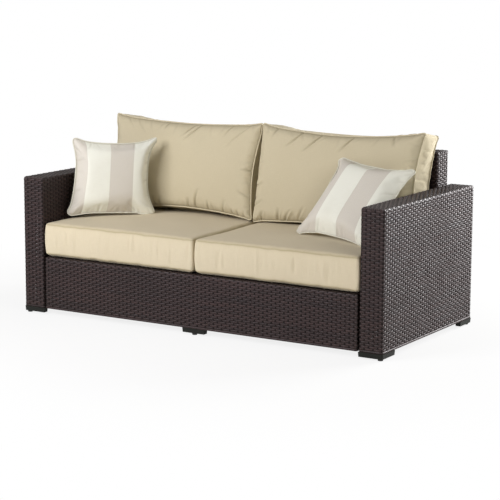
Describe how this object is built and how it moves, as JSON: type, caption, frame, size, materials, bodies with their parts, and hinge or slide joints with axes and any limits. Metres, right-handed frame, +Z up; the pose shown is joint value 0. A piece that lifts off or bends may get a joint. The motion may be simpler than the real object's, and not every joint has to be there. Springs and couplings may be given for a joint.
{
  "type": "rattan garden sofa",
  "caption": "Low garden sofa with woven resin rattan arms, back and apron, corner feet with levelling glides, box seat and back cushions and striped throw pillows.",
  "frame": {"origin": "on the floor under the middle of the sofa's bounding box", "axes": "+X along the sofa from its left arm to its right arm seen from the front, +Y from the front to the back, +Z up"},
  "size_m": [1.792, 0.842, 0.834],
  "materials": {
    "resin_rattan": "dark brown woven resin strand, satin",
    "frame_paint": "dark brown powder coat, satin",
    "zinc": "zinc plated",
    "foot_plastic": "moulded grey plastic",
    "glide_plastic": "moulded black plastic",
    "seat_fabric": "plain woven beige cloth",
    "back_fabric": "plain woven beige cloth with piping",
    "pillow_fabric": "cream cloth with wide taupe stripes and piping"
  },
  "bodies": {
    "frame": {"left_arm_weave": "resin_rattan", "right_arm_weave": "resin_rattan", "back_weave": "resin_rattan", "apron_weave": "resin_rattan", "seat_deck_weave": "resin_rattan", "left_arm_frame": "frame_paint", "right_arm_frame": "frame_paint", "back_frame": "frame_paint", "apron_frame": "frame_paint", "seat_rail_left": "frame_paint", "seat_rail_right": "frame_paint", "seat_rail_front": "frame_paint", "seat_rail_rear": "frame_paint", "seat_crossbar_1": "frame_paint", "seat_crossbar_2": "frame_paint", "seat_crossbar_3": "frame_paint", "arm_bolt_left_1": "zinc", "arm_bolt_left_2": "zinc", "arm_bolt_left_3": "zinc", "arm_bolt_right_1": "zinc", "arm_bolt_right_2": "zinc", "arm_bolt_right_3": "zinc", "apron_bolt_1": "zinc", "apron_bolt_2": "zinc", "apron_bolt_3": "zinc", "apron_bolt_4": "zinc", "back_bolt_1": "zinc", "back_bolt_2": "zinc", "back_bolt_3": "zinc", "back_bolt_4": "zinc", "foot_front_left": "foot_plastic", "foot_front_centre": "foot_plastic", "foot_front_right": "foot_plastic", "foot_rear_left": "foot_plastic", "foot_rear_centre": "foot_plastic", "foot_rear_right": "foot_plastic"},
    "glide_front_left": {"glide_front_left": "glide_plastic"},
    "glide_front_centre": {"glide_front_centre": "glide_plastic"},
    "glide_front_right": {"glide_front_right": "glide_plastic"},
    "glide_rear_left": {"glide_rear_left": "glide_plastic"},
    "glide_rear_centre": {"glide_rear_centre": "glide_plastic"},
    "glide_rear_right": {"glide_rear_right": "glide_plastic"},
    "seat_cushion_left": {"seat_cushion_left": "seat_fabric"},
    "back_cushion_left": {"back_cushion_left": "back_fabric"},
    "pillow_left": {"pillow_left": "pillow_fabric"},
    "seat_cushion_right": {"seat_cushion_right": "seat_fabric"},
    "back_cushion_right": {"back_cushion_right": "back_fabric"},
    "pillow_right": {"pillow_right": "pillow_fabric"}
  },
  "joints": [
    {"name": "level_front_left", "type": "slide", "parent": "frame", "child": "glide_front_left", "axis": [0, 0, -1], "range_m": [0, 0.01]},
    {"name": "level_front_centre", "type": "slide", "parent": "frame", "child": "glide_front_centre", "axis": [0, 0, -1], "range_m": [0, 0.01]},
    {"name": "level_front_right", "type": "slide", "parent": "frame", "child": "glide_front_right", "axis": [0, 0, -1], "range_m": [0, 0.01]},
    {"name": "level_rear_left", "type": "slide", "parent": "frame", "child": "glide_rear_left", "axis": [0, 0, -1], "range_m": [0, 0.01]},
    {"name": "level_rear_centre", "type": "slide", "parent": "frame", "child": "glide_rear_centre", "axis": [0, 0, -1], "range_m": [0, 0.01]},
    {"name": "level_rear_right", "type": "slide", "parent": "frame", "child": "glide_rear_right", "axis": [0, 0, -1], "range_m": [0, 0.01]},
    {"name": "seat_cushion_left_lift", "type": "slide", "parent": "frame", "child": "seat_cushion_left", "axis": [0, 0, 1], "range_m": [0, 0.3]},
    {"name": "back_cushion_left_lift", "type": "slide", "parent": "seat_cushion_left", "child": "back_cushion_left", "axis": [0, 0, 1], "range_m": [0, 0.3]},
    {"name": "pillow_left_lift", "type": "slide", "parent": "back_cushion_left", "child": "pillow_left", "axis": [0, 0, 1], "range_m": [0, 0.3]},
    {"name": "seat_cushion_right_lift", "type": "slide", "parent": "frame", "child": "seat_cushion_right", "axis": [0, 0, 1], "range_m": [0, 0.3]},
    {"name": "back_cushion_right_lift", "type": "slide", "parent": "seat_cushion_right", "child": "back_cushion_right", "axis": [0, 0, 1], "range_m": [0, 0.3]},
    {"name": "pillow_right_lift", "type": "slide", "parent": "back_cushion_right", "child": "pillow_right", "axis": [0, 0, 1], "range_m": [0, 0.3]}
  ]
}
